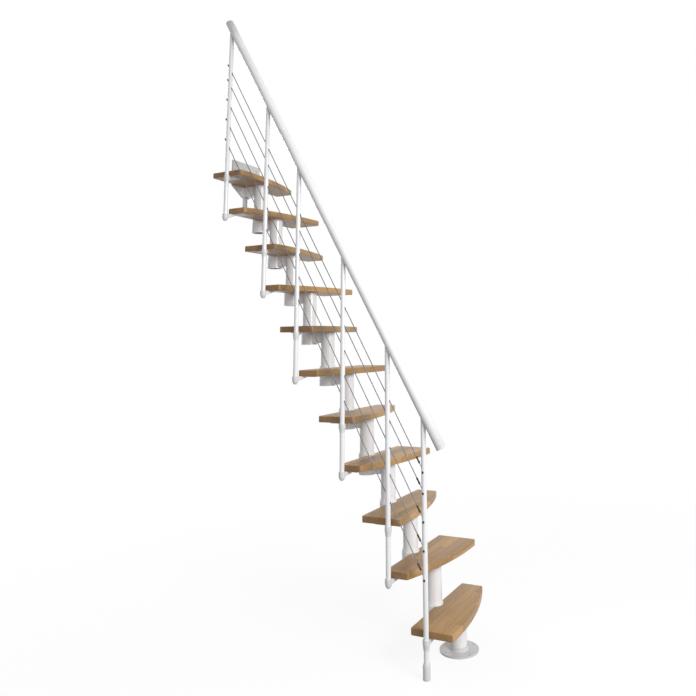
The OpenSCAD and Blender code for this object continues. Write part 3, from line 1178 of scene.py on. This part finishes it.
class STAIR_OT_handrail_ends(bpy.types.Operator):
    """Domed end caps of the handrail"""

    bl_idname = "stair.handrail_ends"
    bl_label = "Handrail ends"

    def execute(self, context):
        low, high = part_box("handrail")
        line = rail_line()
        dome_height, dome_steps = 0.004, 6
        dome = [(0.0, RAIL_R)]
        for s in range(1, dome_steps + 1):
            a = math.pi / 2 * s / dome_steps
            radius = RAIL_R * (1 - 0.18 * (1 - math.cos(a)))
            dome.append((dome_height * math.sin(a), radius))
        dome.append((dome_height, 0.0))
        bm = bmesh.new()
        for y, turned in ((low.y + RAIL_END, True), (high.y - RAIL_END, False)):
            place = along(y, line + y * SLOPE)
            if turned:
                place = place @ Matrix.Rotation(math.pi, 4, "X")
            lathe(bm, dome, place, 64)
        caps = piece_from(bm, "rail_end_caps", paint_material())
        keep(caps, "white_paint", "rail_caps")
        return {"FINISHED"}


class STAIR_OT_cables(bpy.types.Operator):
    """Stranded cables pulled straight through the posts"""

    bl_idname = "stair.cables"
    bl_label = "Cables"

    def execute(self, context):
        sizes = context.scene.stair_sizes
        start = post_y(1) + CABLE_FROM * math.cos(PITCH)
        for c in range(1, CABLES + 1):
            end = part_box(f"cable_{c}")[1].y - CABLE_R * math.sin(PITCH)
            values = {
                "Length": (end - start) / math.cos(PITCH),
                "Cable Radius": CABLE_R,
                "Lay": sizes.lay_length,
                "Strands": sizes.strands,
                "Tilt": -(math.pi / 2 - PITCH),
                "Material": cable_material(),
            }
            foot = (POST_X, start, cable_line(c) + start * SLOPE)
            cable = grown(f"steel_cable_{c}", cable_tree(), [foot], values)
            keep(cable, "cable_steel", f"cable_{c}")
        return {"FINISHED"}


class STAIR_OT_cable_fittings(bpy.types.Operator):
    """Tensioners, clamp screws and end stops on the cables, and sleeves in the posts"""

    bl_idname = "stair.cable_fittings"
    bl_label = "Cable fittings"

    def execute(self, context):
        black = fitting_material()
        first, last = post_y(1), post_y(POSTS)
        barrels, studs, ends = bmesh.new(), bmesh.new(), bmesh.new()
        outward = Matrix.Rotation(-math.pi / 2, 4, "Y")
        for c in range(1, CABLES + 1):
            line = cable_line(c)
            height = line + first * SLOPE
            place = along(first, height)
            lathe(barrels, self.barrel_profile(), place, 32)
            lathe(studs, self.stud_profile(STUD_FROM, STUD_TO), place, 16)
            face = Matrix.Translation((POST_X - POST_R, first, height)) @ outward
            self.clamp_screw(ends, face)
            lathe(ends, self.stop_profile(), along(last, line + last * SLOPE), 24)
        barrels = piece_from(barrels, "tensioner_barrels", black)
        keep(barrels, "tensioner_black", "cable_tensioners")
        studs = piece_from(studs, "tensioner_studs", polished_material())
        keep(studs, "cable_steel")
        ends = piece_from(ends, "cable_end_screws", black)
        keep(ends, "tensioner_black", "cable_ends")
        values = {
            "Radius": CABLE_R + 0.0012,
            "Thickness": 0.0018,
            "Tilt": math.pi / 2,
            "Sides": 20,
            "Material": black,
        }
        sleeves = grown("post_sleeves", washer_tree(), self.sleeve_points(), values)
        keep(sleeves, "tensioner_black")
        return {"FINISHED"}

    def sleeve_points(self):
        """Where each cable enters and leaves a post, but not under the tensioners."""
        gap = POST_R + 0.0002
        points = []
        for i in range(1, POSTS + 1):
            for c in range(1, CABLES + 1):
                for side in (1,) if i == 1 else (-1, 1):
                    y = post_y(i) + side * gap
                    points.append((POST_X, y, cable_line(c) + y * SLOPE))
        return points

    def barrel_profile(self):
        """Tensioner body with a waist, from its near end to its far end."""
        body = [
            (0.0, 0.0024),
            (0.0005, 0.0034),
            (0.0020, 0.0042),
            (0.0040, 0.0045),
            (0.0120, 0.0045),
            (0.0128, 0.0039),
            (0.0220, 0.0039),
            (0.0228, 0.0045),
            (0.0295, 0.0044),
            (0.0325, 0.0038),
            (0.0340, 0.0026),
        ]
        return [(BARREL_FROM + distance, radius) for distance, radius in body]

    def clamp_screw(self, bm, face):
        """Domed screw head with a round socket, and its shank into the post."""
        lathe(bm, [(-0.0092, 0.0030), (0.0, 0.0030)], face, 24)
        head = [
            (0.0, 0.0050),
            (0.0003, 0.0055),
            (0.0014, 0.0055),
            (0.0024, 0.0050),
            (0.0031, 0.0040),
            (0.0035, 0.0027),
            (0.0035, 0.0022),
            (0.0016, 0.0021),
            (0.0014, 0.0),
        ]
        lathe(bm, head, face, 36)

    def stud_profile(self, start, end):
        """A threaded stud: fine grooves over its length."""
        thread, crest, root = 0.001, 0.0025, 0.0022
        profile = [(start, 0.0020)]
        for s in range(int((end - start) / thread)):
            at = start + 0.0004 + s * thread
            profile.append((at, crest if s % 2 else root))
        profile.append((end, root))
        return profile

    def stop_profile(self):
        """End stop with rounded rims, from its near end to its far end."""
        body = [
            (0.0, 0.0026),
            (0.0004, 0.0040),
            (0.0014, 0.0045),
            (0.0075, 0.0045),
            (0.0086, 0.0038),
            (0.0090, 0.0026),
        ]
        return [(STOP_FROM + distance, radius) for distance, radius in body]


# ---------------------------------------------------------------------------
# panel and registration
# ---------------------------------------------------------------------------

STEPS = (
    STAIR_OT_stage,
    STAIR_OT_treads,
    STAIR_OT_tread_plugs,
    STAIR_OT_painted_steel,
    STAIR_OT_handrail,
    STAIR_OT_handrail_ends,
    STAIR_OT_cables,
    STAIR_OT_cable_fittings,
)


class STAIR_PT_pieces(bpy.types.Panel):
    bl_idname = "STAIR_PT_pieces"
    bl_label = "Staircase"
    bl_space_type = "VIEW_3D"
    bl_region_type = "UI"
    bl_category = "Staircase"

    def draw(self, context):
        layout = self.layout
        for owner in (context.scene.stair_sizes, context.scene.stair_finish):
            column = layout.column(align=True)
            for key in owner.__annotations__:
                column.prop(owner, key)
        for step in STEPS:
            layout.operator(step.bl_idname)


CLASSES = (StairSizes, StairFinish, *STEPS, STAIR_PT_pieces)


def register():
    for item in CLASSES:
        bpy.utils.register_class(item)
    bpy.types.Scene.stair_sizes = PointerProperty(type=StairSizes)
    bpy.types.Scene.stair_finish = PointerProperty(type=StairFinish)


def unregister():
    del bpy.types.Scene.stair_finish
    del bpy.types.Scene.stair_sizes
    for item in reversed(CLASSES):
        bpy.utils.unregister_class(item)


def main():
    register()
    for step in STEPS:
        group, call = step.bl_idname.split(".")
        getattr(getattr(bpy.ops, group), call)()


if __name__ == "__main__":
    main()
